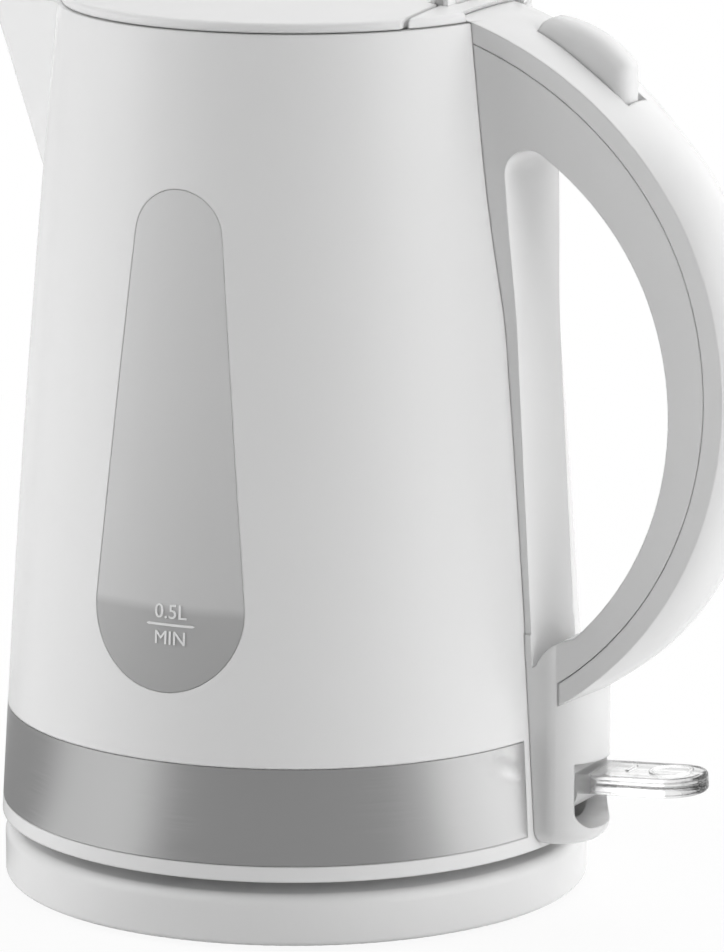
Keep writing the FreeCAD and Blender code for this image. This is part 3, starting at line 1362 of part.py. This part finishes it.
def make_base():
    foot_outer = "(Dims.foot_inner + Dims.foot_width)"
    keep("base_foot_ring", turned("base_foot_ring", [
        ("Dims.foot_inner", "0"), (foot_outer, "0"), (foot_outer, "Dims.foot_thickness"),
        ("Dims.foot_inner", "Dims.foot_thickness"),
    ]))

    groove_in, groove_out = "Dims.foot_inner - Dims.seam_gap", f"{foot_outer} + Dims.seam_gap"
    inside = "(Dims.base_radius - Dims.base_wall)"
    disc = turned("base_bottom_disc", [
        ("0", "Dims.foot_proud"), (groove_in, "Dims.foot_proud"), (groove_in, "Dims.foot_thickness"),
        (groove_out, "Dims.foot_thickness"), (groove_out, "Dims.foot_proud"),
        (f"{inside} - Dims.seam_gap", "Dims.foot_proud"), (f"{inside} - Dims.seam_gap", BASE_PLATE_TOP),
        ("0", BASE_PLATE_TOP),
    ])
    places = list(around(3, size("base_screw_circle"), 30))
    plate_top = value(BASE_PLATE_TOP)
    head_seat = size("foot_proud") + size("screw_head_height")
    grip = plate_top - head_seat
    holes = [screw_room(p, head_seat, 2 * grip) for p in places]
    rooms = shaped("base_bottom_holes", Part.makeCompound(holes))
    keep("base_bottom", joined("Cut", "base_bottom", disc, rooms))
    keep("base_screws", shaped("base_screws", screws(places, head_seat, grip)))

    tower_hole = "(Dims.connector_radius + Dims.seam_gap)"
    lid = turned("base_cover_turning", [
        (inside, "Dims.foot_proud"),
        ("Dims.base_radius", "Dims.foot_proud"),
        ("Dims.base_radius", "Dims.base_height"),
        (tower_hole, "Dims.base_height"), (tower_hole, BASE_CEILING), (inside, BASE_CEILING),
    ])
    rounded(lid, "Dims.base_edge", "Dims.base_radius", "Dims.base_height")
    rounded(lid, "Dims.base_edge / 2", "Dims.base_radius", "Dims.foot_proud")
    ceiling = value(BASE_CEILING)
    overlap = size("base_wall") / 2
    post_height = ceiling + overlap - plate_top
    posts = [rod(size("boss_radius"), p + V(0, 0, plate_top), Z_AXIS, post_height) for p in places]
    post_set = shaped("base_cover_posts", Part.makeCompound(posts))
    with_posts = joined("Fuse", "base_cover_with_posts", lid, post_set)
    gland_z = (plate_top + ceiling) / 2
    gland_start = V(-size("foot_inner"), 0, gland_z)
    passage = rod(size("gland_radius") + size("seam_gap"), gland_start, -X_AXIS, size("base_radius"))
    holes = [pilot(p, plate_top) for p in places] + [passage]
    hole_set = shaped("base_cover_holes", Part.makeCompound(holes))
    keep("base_cover", joined("Cut", "base_cover", with_posts, hole_set))

    flange_top = f"({BASE_CEILING} - Dims.seam_gap)"
    keep("base_connector", turned("base_connector", [
        ("0", BASE_PLATE_TOP),
        ("Dims.connector_flange", BASE_PLATE_TOP),
        ("Dims.connector_flange", flange_top),
        ("Dims.connector_radius", flange_top), ("Dims.connector_radius", "Dims.connector_top"),
        ("Dims.slot_outer", "Dims.connector_top"), ("Dims.slot_outer", "Dims.connector_floor"),
        ("Dims.slot_inner", "Dims.connector_floor"), ("Dims.slot_inner", "Dims.connector_top"),
        ("Dims.connector_bore", "Dims.connector_top"), ("Dims.connector_bore", "Dims.connector_floor"),
        ("0", "Dims.connector_floor"),
    ]))
    depth = "(Dims.connector_top - Dims.connector_floor - 2 * Dims.contact_wall)"
    socket_outer = "(Dims.connector_bore - Dims.seam_gap)"
    socket = tube("base_socket", socket_outer, f"{socket_outer} - Dims.contact_wall", depth)
    ring_inner = "(Dims.slot_inner + Dims.seam_gap)"
    ring = tube("base_ring", f"{ring_inner} + Dims.contact_wall", ring_inner, depth)
    keep("base_contacts", compound("base_contacts", socket, ring), "Dims.connector_floor")

    stub = "(Dims.gland_inside + Dims.base_wall + Dims.seam_gap)"
    gland_end = f"({stub} + Dims.gland_collar_length)"
    gland = turned("cord_gland", [
        ("Dims.gland_bore", "0"),
        ("Dims.gland_radius", "0"),
        ("Dims.gland_radius", stub),
        ("Dims.gland_collar", stub),
        ("Dims.gland_collar", gland_end), ("Dims.gland_bore", gland_end),
    ])
    gland_start = "-(Dims.base_radius - Dims.base_wall - Dims.gland_inside)"
    moved(gland, FreeCAD.Rotation(Y_AXIS, -90), x=gland_start)
    keep("cord_gland", gland, f"({BASE_PLATE_TOP} + {BASE_CEILING}) / 2")


def check_document():
    doc.recompute()
    for feature in doc.Objects:
        if "Invalid" in feature.State or "Error" in feature.State:
            raise RuntimeError(f"{feature.Name} failed: {feature.State}")
    for node, feature in PARTS.items():
        if feature.Shape.isNull() or not feature.Shape.isValid():
            raise RuntimeError(f"{node} has no valid shape")


def write_parts():
    os.makedirs("parts", exist_ok=True)
    for node, feature in PARTS.items():
        feature.Shape.exportStep(f"parts/{node}.step")
        print(node, len(feature.Shape.Solids), "solids", round(feature.Shape.Volume), "mm3")


make_base()
make_floor()
make_jug()
make_filter()
make_handle()
make_lever()
make_lid()
make_deck()
make_button()
make_springs()
check_document()
write_parts()
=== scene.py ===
"""Looks of the electric kettle: materials, gauge marks, lever marks, light and camera."""

import json
import math

import bmesh
import bpy
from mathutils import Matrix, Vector
from mathutils.bvhtree import BVHTree


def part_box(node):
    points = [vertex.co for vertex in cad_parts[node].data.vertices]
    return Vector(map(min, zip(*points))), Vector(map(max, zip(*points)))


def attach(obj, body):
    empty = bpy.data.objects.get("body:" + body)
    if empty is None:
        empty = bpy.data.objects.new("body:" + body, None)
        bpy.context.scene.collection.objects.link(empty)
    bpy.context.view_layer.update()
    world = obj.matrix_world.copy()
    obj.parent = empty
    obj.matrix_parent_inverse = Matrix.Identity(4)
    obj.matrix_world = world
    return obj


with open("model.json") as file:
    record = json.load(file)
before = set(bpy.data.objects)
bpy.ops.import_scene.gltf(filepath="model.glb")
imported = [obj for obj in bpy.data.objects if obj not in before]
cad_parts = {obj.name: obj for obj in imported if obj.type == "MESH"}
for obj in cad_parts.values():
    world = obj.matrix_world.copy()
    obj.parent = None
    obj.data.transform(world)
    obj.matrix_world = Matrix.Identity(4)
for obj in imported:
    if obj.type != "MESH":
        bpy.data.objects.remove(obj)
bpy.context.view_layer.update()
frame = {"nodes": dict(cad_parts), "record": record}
nodes = frame["nodes"]

MM = 0.001


# Node helpers

class Net:
    """A short way to add and link the nodes of one material or world."""

    def __init__(self, tree):
        self.tree = tree
        tree.nodes.clear()

    def add(self, kind, **values):
        node = self.tree.nodes.new(kind)
        for name, value in values.items():
            setattr(node, name, value)
        return node

    def link(self, source, target):
        self.tree.links.new(source, target)

    def math(self, operation, first, second):
        node = self.add("ShaderNodeMath", operation=operation)
        for socket, value in zip(node.inputs, (first, second)):
            if isinstance(value, (int, float)):
                socket.default_value = value
            else:
                self.link(value, socket)
        return node.outputs[0]

    def split(self, vector):
        node = self.add("ShaderNodeSeparateXYZ")
        self.link(vector, node.inputs[0])
        return node.outputs

    def object_place(self):
        return self.add("ShaderNodeTexCoord").outputs["Object"]

    def noise(self, where, scale, detail=2.0, rough=0.5):
        node = self.add("ShaderNodeTexNoise")
        node.inputs["Scale"].default_value = scale
        node.inputs["Detail"].default_value = detail
        node.inputs["Roughness"].default_value = rough
        self.link(where, node.inputs["Vector"])
        return node.outputs["Fac"]

    def spread(self, source, low, high, start=0.3, end=0.7):
        """Maps start..end of the source on to low..high."""
        node = self.add("ShaderNodeMapRange")
        self.link(source, node.inputs["Value"])
        for name, value in (("From Min", start), ("From Max", end), ("To Min", low), ("To Max", high)):
            node.inputs[name].default_value = value
        return node.outputs["Result"]

    def ramp(self, source, stops, interpolation="EASE"):
        node = self.add("ShaderNodeValToRGB")
        node.color_ramp.interpolation = interpolation
        elements = node.color_ramp.elements
        while len(elements) < len(stops):
            elements.new(0.5)
        for element, (place, colour) in zip(elements, stops):
            element.position = place
            element.color = (*colour, 1.0)
        self.link(source, node.inputs["Fac"])
        return node.outputs["Color"]

    def bump(self, height, strength, distance, normal=None):
        node = self.add("ShaderNodeBump")
        node.inputs["Strength"].default_value = strength
        node.inputs["Distance"].default_value = distance
        self.link(height, node.inputs["Height"])
        if normal is not None:
            self.link(normal, node.inputs["Normal"])
        return node.outputs["Normal"]

    def soft_edge(self, radius):
        node = self.add("ShaderNodeBevel")
        node.samples = 4
        node.inputs["Radius"].default_value = radius
        return node.outputs["Normal"]

    def mix(self, share, first, second):
        node = self.add("ShaderNodeMixShader")
        self.link(share, node.inputs["Fac"])
        self.link(first.outputs[0], node.inputs[1])
        self.link(second.outputs[0], node.inputs[2])
        return node


def new_material(name):
    material = bpy.data.materials.new(name)
    material.use_nodes = True
    net = Net(material.node_tree)
    out = net.add("ShaderNodeOutputMaterial")
    shader = net.add("ShaderNodeBsdfPrincipled")
    net.link(shader.outputs["BSDF"], out.inputs["Surface"])
    return material, net, shader


def grey(level):
    return (level, level, level)


def shades(level, spread):
    return [(0.0, grey(level - spread)), (1.0, grey(level + spread))]


# Materials. Roughness stays on one side of 0.274 in each: ranges that cross it come out blotchy.

PLASTIC_IOR = 1.5
ACRYLIC_IOR = 1.49
COAT_ROUGHNESS = 0.12
WINDOW_FROST = (0.30, 0.37)
WINDOW_CLARITY = 0.15
# Grey of the window, darker towards its foot with painted shade of the jug's inside
WINDOW_TINT_AND_SHADE = [
    (0.0, grey(0.50)), (0.165, grey(0.54)), (0.185, grey(0.72)), (0.6, grey(0.79)), (1.0, grey(0.82)),
]
MILKY_CLARITY = 0.25
BRASS_TONES = [(0.2, (0.50, 0.34, 0.13)), (0.8, (0.72, 0.53, 0.24))]
BRASS_ROUGHNESS = (0.29, 0.44)


def moulded(name, level, rough, grain, edge, tint=0.008, coat=0.0):
    """Moulded plastic: faint flow marks, slightly uneven gloss, a fine skin and rounded edges."""
    material, net, shader = new_material(name)
    where = net.object_place()
    flow = net.noise(where, 14.0, 3.0)
    net.link(net.ramp(flow, shades(level, tint), "LINEAR"), shader.inputs["Base Color"])
    gloss = net.noise(where, 60.0, 4.0)
    net.link(net.spread(gloss, rough - 0.03, rough + 0.04), shader.inputs["Roughness"])
    skin = net.noise(where, grain, 2.0)
    normal = net.bump(skin, 0.04, 0.06 * MM, net.soft_edge(edge))
    net.link(normal, shader.inputs["Normal"])
    shader.inputs["IOR"].default_value = PLASTIC_IOR
    shader.inputs["Coat Weight"].default_value = coat
    shader.inputs["Coat Roughness"].default_value = COAT_ROUGHNESS
    return material


def round_the_axis(net, stretch_round, stretch_up):
    """Coordinates that run round the jug's axis and up it, for marks left by brushing."""
    place = net.split(net.object_place())
    turn = net.math("ARCTAN2", place["Y"], place["X"])
    join = net.add("ShaderNodeCombineXYZ")
    net.link(net.math("MULTIPLY", turn, stretch_round), join.inputs["X"])
    net.link(net.math("MULTIPLY", place["Z"], stretch_up), join.inputs["Y"])
    return join.outputs[0]


def steel(name, level, rough, brushed, stretch_round=3.0, stretch_up=2600.0):
    """Steel with fine brush lines round the axis, or with a satin skin where brushed is off."""
    material, net, shader = new_material(name)
    shader.inputs["Metallic"].default_value = 1.0
    if brushed:
        where = round_the_axis(net, stretch_round, stretch_up)
        lines = net.noise(where, 1.0, 4.0, 0.6)
        shader.inputs["Anisotropic"].default_value = 0.75
        tangent = net.add("ShaderNodeTangent", direction_type="RADIAL", axis="Z")
        net.link(tangent.outputs[0], shader.inputs["Tangent"])
        depth = 0.01 * MM
    else:
        lines = net.noise(net.object_place(), 900.0, 4.0, 0.6)
        depth = 0.02 * MM
    net.link(net.ramp(lines, shades(level, 0.03), "LINEAR"), shader.inputs["Base Color"])
    net.link(net.spread(lines, rough - 0.05, rough + 0.05), shader.inputs["Roughness"])
    net.link(net.bump(lines, 0.12, depth), shader.inputs["Normal"])
    return material


def gauge(name):
    """Frosted grey window, darker at its foot with painted shade of the jug's inside."""
    material, net, shader = new_material(name)
    where = net.object_place()
    low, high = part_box("gauge_window_left")
    # Height up the window, which places the painted shade at its foot
    rise = net.spread(net.split(where)["Z"], 0.0, 1.0, low.z, high.z)
    cloud = net.noise(where, 30.0, 3.0)
    shifted = net.math("ADD", rise, net.math("MULTIPLY", cloud, 0.015))
    net.link(net.ramp(shifted, WINDOW_TINT_AND_SHADE, "LINEAR"), shader.inputs["Base Color"])
    frost = net.noise(where, 300.0, 3.0)
    net.link(net.spread(frost, *WINDOW_FROST), shader.inputs["Roughness"])
    net.link(net.bump(frost, 0.04, 0.04 * MM, net.soft_edge(0.4 * MM)), shader.inputs["Normal"])
    shader.inputs["Transmission Weight"].default_value = WINDOW_CLARITY
    shader.inputs["IOR"].default_value = ACRYLIC_IOR
    return material


def gauge_mark(name):
    """The window's own plastic, coloured paler as a painted highlight on the raised marks."""
    material, net, shader = new_material(name)
    frost = net.noise(net.object_place(), 900.0, 3.0)
    # Pale grey: a painted highlight where the raised marks catch the light
    net.link(net.ramp(frost, shades(0.88, 0.03), "LINEAR"), shader.inputs["Base Color"])
    net.link(net.spread(frost, *WINDOW_FROST), shader.inputs["Roughness"])
    net.link(net.bump(frost, 0.05, 0.03 * MM), shader.inputs["Normal"])
    shader.inputs["IOR"].default_value = ACRYLIC_IOR
    return material


def clear(name, level, rough, milky_to, clear_from):
    """Clear moulded plastic with drawn flow lines inside, milky towards its root on the jug's side."""
    material, net, shader = new_material(name)
    where = net.object_place()
    stretch = net.add("ShaderNodeMapping")
    stretch.inputs["Scale"].default_value = (0.12, 1.0, 1.0)
    net.link(where, stretch.inputs["Vector"])
    flow = net.noise(stretch.outputs[0], 420.0, 3.0)
    net.link(net.ramp(flow, shades(level, 0.03), "LINEAR"), shader.inputs["Base Color"])
    net.link(net.spread(flow, rough, rough + 0.05), shader.inputs["Roughness"])
    net.link(net.bump(flow, 0.25, 0.12 * MM, net.soft_edge(0.4 * MM)), shader.inputs["Normal"])
    clarity = net.spread(net.split(where)["X"], MILKY_CLARITY, 1.0, milky_to, clear_from)
    net.link(clarity, shader.inputs["Transmission Weight"])
    shader.inputs["IOR"].default_value = ACRYLIC_IOR
    return material


def brass(name):
    material, net, shader = new_material(name)
    dull = net.noise(net.object_place(), 220.0, 4.0)
    net.link(net.ramp(dull, BRASS_TONES, "LINEAR"), shader.inputs["Base Color"])
    net.link(net.spread(dull, *BRASS_ROUGHNESS), shader.inputs["Roughness"])
    net.link(net.bump(dull, 0.1, 0.03 * MM), shader.inputs["Normal"])
    shader.inputs["Metallic"].default_value = 1.0
    return material


SLOT_MATERIALS = {
    "white_gloss": moulded("white_gloss", 0.83, 0.21, 220.0, 0.7 * MM, coat=0.15),
    "white_matt": moulded("white_matt", 0.80, 0.46, 500.0, 0.5 * MM),
    "gauge_clear": gauge("gauge_clear"),
    "lever_clear": clear("lever_clear", 0.90, 0.04, 82 * MM, 92 * MM),
    "band_steel": steel("band_steel", 0.78, 0.22, True),
    "plate_steel": steel("plate_steel", 0.58, 0.34, False),
    "fastener_steel": steel("fastener_steel", 0.54, 0.34, False),
    "element_metal": steel("element_metal", 0.48, 0.42, False),
    "contact_brass": brass("contact_brass"),
    "dark_plastic": moulded("dark_plastic", 0.035, 0.42, 1200.0, 0.4 * MM, tint=0.004),
    "dark_rubber": moulded("dark_rubber", 0.028, 0.72, 1900.0, 0.4 * MM, tint=0.004),
}
GAUGE_MARK = gauge_mark("gauge_mark")

for part in frame["record"]["subparts"]:
    mesh = nodes[part["node"]].data
    mesh.materials.clear()
    mesh.materials.append(SLOT_MATERIALS[part["material_slot"]])


# Marks that stand on the surface of a node

CAPITAL_SHARE = 0.7
END_WIDTH = 0.3
MARK_LIFT = 0.02 * MM


def tree_of(node):
    mesh = nodes[node].data
    corners = [v.co.copy() for v in mesh.vertices]
    faces = [p.vertices[:] for p in mesh.polygons]
    return BVHTree.FromPolygons(corners, faces)


def flat_mesh(curve_object):
    """The filled outline of a text object as a mesh."""
    bpy.context.view_layer.update()
    graph = bpy.context.evaluated_depsgraph_get()
    mesh = bpy.data.meshes.new_from_object(curve_object.evaluated_get(graph))
    data = curve_object.data
    bpy.data.objects.remove(curve_object)
    bpy.data.curves.remove(data)
    return mesh


def text_mesh(words, height):
    """Words with capitals of the given height."""
    data = bpy.data.curves.new("words", "FONT")
    data.body = words
    data.align_x = "CENTER"
    data.size = height / CAPITAL_SHARE
    data.resolution_u = 4
    holder = bpy.data.objects.new("words", data)
    bpy.context.scene.collection.objects.link(holder)
    return flat_mesh(holder)


def bar_mesh(width, height, steps=24):
    """A flat bar with rounded ends, cut into short lengths so that it can follow a curved wall."""
    mesh = bpy.data.meshes.new("bar")
    made = bmesh.new()
    rows = []
    for i in range(steps + 1):
        x = width * (i / steps - 0.5)
        into_end = max(0.0, 1 - (width / 2 - abs(x)) / (height / 2))
        rounded = math.sqrt(max(0.0, 1 - into_end ** 2))
        half = height / 2 * min(1.0, rounded + END_WIDTH)
        rows.append([made.verts.new((x, side * half, 0)) for side in (-1, 1)])
    for a, b in zip(rows, rows[1:]):
        made.faces.new((a[0], b[0], b[1], a[1]))
    made.to_mesh(mesh)
    made.free()
    return mesh


def ring_mesh(radius, width, steps=64):
    mesh = bpy.data.meshes.new("ring")
    made = bmesh.new()
    rows = []
    for i in range(steps):
        turn = 2 * math.pi * i / steps
        rows.append([
            made.verts.new((r * math.cos(turn), r * math.sin(turn), 0))
            for r in (radius - width / 2, radius + width / 2)
        ])
    for a, b in zip(rows, rows[1:] + rows[:1]):
        made.faces.new((a[0], a[1], b[1], b[0]))
    made.to_mesh(mesh)
    made.free()
    return mesh


def piece(name, mesh, body, thickness, material):
    """A raised mark as an object of its own, as thick as a moulded mark is proud."""
    thing = bpy.data.objects.new(name, mesh)
    bpy.context.scene.collection.objects.link(thing)
    solid = thing.modifiers.new("thickness", "SOLIDIFY")
    solid.thickness = thickness
    solid.offset = 1.0
    mesh.materials.clear()
    mesh.materials.append(material)
    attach(thing, body)


def onto_window(mesh, tree, side, across, height):
    """Wraps a flat mark round the window: side is -1 for the near one, +1 for the far one."""
    outside = side * 200 * MM
    for vertex in mesh.vertices:
        x = across - side * vertex.co.x
        z = height + vertex.co.y
        hit = tree.ray_cast(Vector((x, outside, z)), Vector((0, -side, 0)))[0]
        vertex.co = hit + Vector((0, side * MARK_LIFT, 0))


def onto_lever(mesh, tree, centre_x, quarter_turn):
    """Lays a flat mark on the lever's upper side."""
    above = 60 * MM
    for vertex in mesh.vertices:
        x, y = vertex.co.x, vertex.co.y
        if quarter_turn:
            x, y = -y, x
        hit = tree.ray_cast(Vector((centre_x + x, y, above)), Vector((0, 0, -1)))[0]
        vertex.co = hit + Vector((0, 0, MARK_LIFT))


MARK_ACROSS = 3.4 * MM
WINDOW_MARK_DEPTH = 0.25 * MM
LEVER_MARK_DEPTH = 0.4 * MM

for window, side in (("gauge_window_left", -1), ("gauge_window_right", 1)):
    window_tree = tree_of(window)
    marks = (
        ("half_litre", text_mesh("0.5L", 3.6 * MM), 82.4 * MM),
        ("level_line", bar_mesh(13.0 * MM, 0.6 * MM), 80.8 * MM),
        ("least_fill", text_mesh("MIN", 3.4 * MM), 75.9 * MM),
    )
    for mark, mark_mesh, mark_height in marks:
        onto_window(mark_mesh, window_tree, side, MARK_ACROSS, mark_height)
        if side > 0:
            mark_mesh.flip_normals()
        piece(f"{window}_{mark}", mark_mesh, "jug", WINDOW_MARK_DEPTH, GAUGE_MARK)

lever_tree = tree_of("switch_lever")
lever_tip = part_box("switch_lever")[1].x
lever_marks = (
    ("lever_ring", ring_mesh(5.2 * MM, 0.9 * MM), lever_tip - 9.5 * MM, False),
    ("lever_bar", bar_mesh(6.0 * MM, 1.0 * MM), lever_tip - 20.5 * MM, True),
)
for mark, mark_mesh, centre, turned in lever_marks:
    onto_lever(mark_mesh, lever_tree, centre, turned)
    piece(mark, mark_mesh, "lever", LEVER_MARK_DEPTH, SLOT_MATERIALS["lever_clear"])


# Stage: floor, light and camera. Lengths are in metres and lamp powers in watts.

# What a shiny surface sees round it, from +Y through -X, -Y and +X back to +Y
STUDIO = [
    (0.00, grey(0.98)), (0.15, grey(0.60)), (0.21, grey(0.20)), (0.29, grey(0.17)), (0.345, grey(0.56)),
    (0.42, grey(0.61)), (0.47, grey(0.17)), (0.66, grey(0.17)), (0.695, grey(0.32)), (0.735, grey(0.80)),
    (0.79, grey(1.00)), (1.00, grey(0.98)),
]
AMBIENT = 0.03
FLOOR_SIZE = 6.0
FLOOR_GREY = 0.88
FLOOR_MIRROR_SHARE = 0.8
NEAR_WHITE, NEAR_REACH = 0.92, 0.25
FAR_WHITE, FAR_REACH = 1.0, 0.6
LAMP_AIM = Vector((0, 0, 0.12))

# Name, compass direction in degrees, distance, height, width, length, power
LAMPS = (
    ("left_light", -75, 1.3, 0.50, 0.9, 1.3, 6.1),
    ("left_front_light", -60, 1.3, 0.50, 0.9, 1.3, 11.2),
    ("right_light", 104, 1.3, 0.55, 1.0, 1.3, 6.8),
    ("right_front_light", 75, 1.3, 0.50, 0.6, 1.3, 7.6),
    ("back_light", 180, 1.0, 0.45, 1.2, 0.9, 3.0),
    ("back_high_light", 180, 0.75, 1.15, 1.2, 0.9, 7.5),
    ("top_light", 0, 0.02, 1.5, 1.4, 1.4, 4.5),
)

CAMERA_PLACE = (0.8059, -1.4968, 0.4818)
CAMERA_DOWN, CAMERA_TURN = 12.533, 27.73
CAMERA_LENS, CAMERA_SENSOR = 258.6, 36.0
CAMERA_SIGHT = 50.0


def studio_colour(net, place):
    """The studio's grey in the compass direction of a place or a ray."""
    turn = net.math("ARCTAN2", place["X"], net.math("MULTIPLY", place["Y"], -1.0))
    return net.ramp(net.math("ADD", net.math("DIVIDE", turn, 2 * math.pi), 0.5), STUDIO)


def seen_share(net, path):
    """1 for what the camera sees, straight or through clear plastic."""
    return net.math("MAXIMUM", path.outputs["Is Camera Ray"], path.outputs["Is Transmission Ray"])


def make_floor():
    """A floor that is lit and takes shadows, but looks near white and mirrors as the studio."""
    made = bmesh.new()
    bmesh.ops.create_grid(made, x_segments=1, y_segments=1, size=FLOOR_SIZE)
    mesh = bpy.data.meshes.new("floor")
    made.to_mesh(mesh)
    made.free()
    floor = bpy.data.objects.new("floor", mesh)
    bpy.context.scene.collection.objects.link(floor)
    material = bpy.data.materials.new("floor")
    material.use_nodes = True
    net = Net(material.node_tree)
    out = net.add("ShaderNodeOutputMaterial")
    lit = net.add("ShaderNodeBsdfDiffuse")
    lit.inputs["Color"].default_value = (*grey(FLOOR_GREY), 1.0)
    white = net.add("ShaderNodeEmission")
    mirror = net.add("ShaderNodeEmission")
    place = net.add("ShaderNodeNewGeometry").outputs["Position"]
    net.link(studio_colour(net, net.split(place)), mirror.inputs["Color"])
    away = net.add("ShaderNodeVectorMath", operation="LENGTH")
    net.link(place, away.inputs[0])
    whiteness = net.spread(away.outputs["Value"], NEAR_WHITE, FAR_WHITE, NEAR_REACH, FAR_REACH)
    path = net.add("ShaderNodeLightPath")
    pale = net.mix(net.math("MULTIPLY", seen_share(net, path), whiteness), lit, white)
    mirror_share = net.math("MULTIPLY", path.outputs["Is Glossy Ray"], FLOOR_MIRROR_SHARE)
    both = net.mix(mirror_share, pale, mirror)
    net.link(both.outputs[0], out.inputs["Surface"])
    mesh.materials.append(material)


def make_world():
    """White to the camera, the studio's greys to shiny surfaces and a faint ambient light to the rest."""
    world = bpy.data.worlds.new("studio")
    bpy.context.scene.world = world
    world.use_nodes = True
    net = Net(world.node_tree)
    out = net.add("ShaderNodeOutputWorld")
    soft = net.add("ShaderNodeBackground")
    soft.inputs["Color"].default_value = (*grey(AMBIENT), 1.0)
    white = net.add("ShaderNodeBackground")
    white.inputs["Color"].default_value = (*grey(1.0), 1.0)
    mirror = net.add("ShaderNodeBackground")
    ray = net.split(net.add("ShaderNodeTexCoord").outputs["Generated"])
    net.link(studio_colour(net, ray), mirror.inputs["Color"])
    path = net.add("ShaderNodeLightPath")
    shiny = net.mix(path.outputs["Is Glossy Ray"], soft, mirror)
    all_rays = net.mix(seen_share(net, path), shiny, white)
    net.link(all_rays.outputs[0], out.inputs["Surface"])


def softbox(name, compass, distance, height, wide, tall, power):
    """A large lamp at a compass direction from the object: 0 is -Y, 90 is +X."""
    data = bpy.data.lights.new(name, "AREA")
    data.shape = "RECTANGLE"
    data.size, data.size_y = wide, tall
    data.energy = power
    lamp = bpy.data.objects.new(name, data)
    turn = math.radians(compass)
    lamp.location = (distance * math.sin(turn), -distance * math.cos(turn), height)
    aim = LAMP_AIM - lamp.location
    lamp.rotation_euler = aim.to_track_quat("-Z", "Y").to_euler()
    lamp.visible_glossy = False
    lamp.visible_camera = False
    bpy.context.scene.collection.objects.link(lamp)


def make_camera():
    data = bpy.data.cameras.new("camera")
    data.sensor_width = CAMERA_SENSOR
    data.lens = CAMERA_LENS
    data.clip_end = CAMERA_SIGHT
    camera = bpy.data.objects.new("camera", data)
    camera.location = CAMERA_PLACE
    camera.rotation_euler = (math.radians(90 - CAMERA_DOWN), 0.0, math.radians(CAMERA_TURN))
    bpy.context.scene.collection.objects.link(camera)
    bpy.context.scene.camera = camera


make_floor()
make_world()
for lamp_values in LAMPS:
    softbox(*lamp_values)
make_camera()
bpy.context.scene.view_settings.view_transform = "Standard"
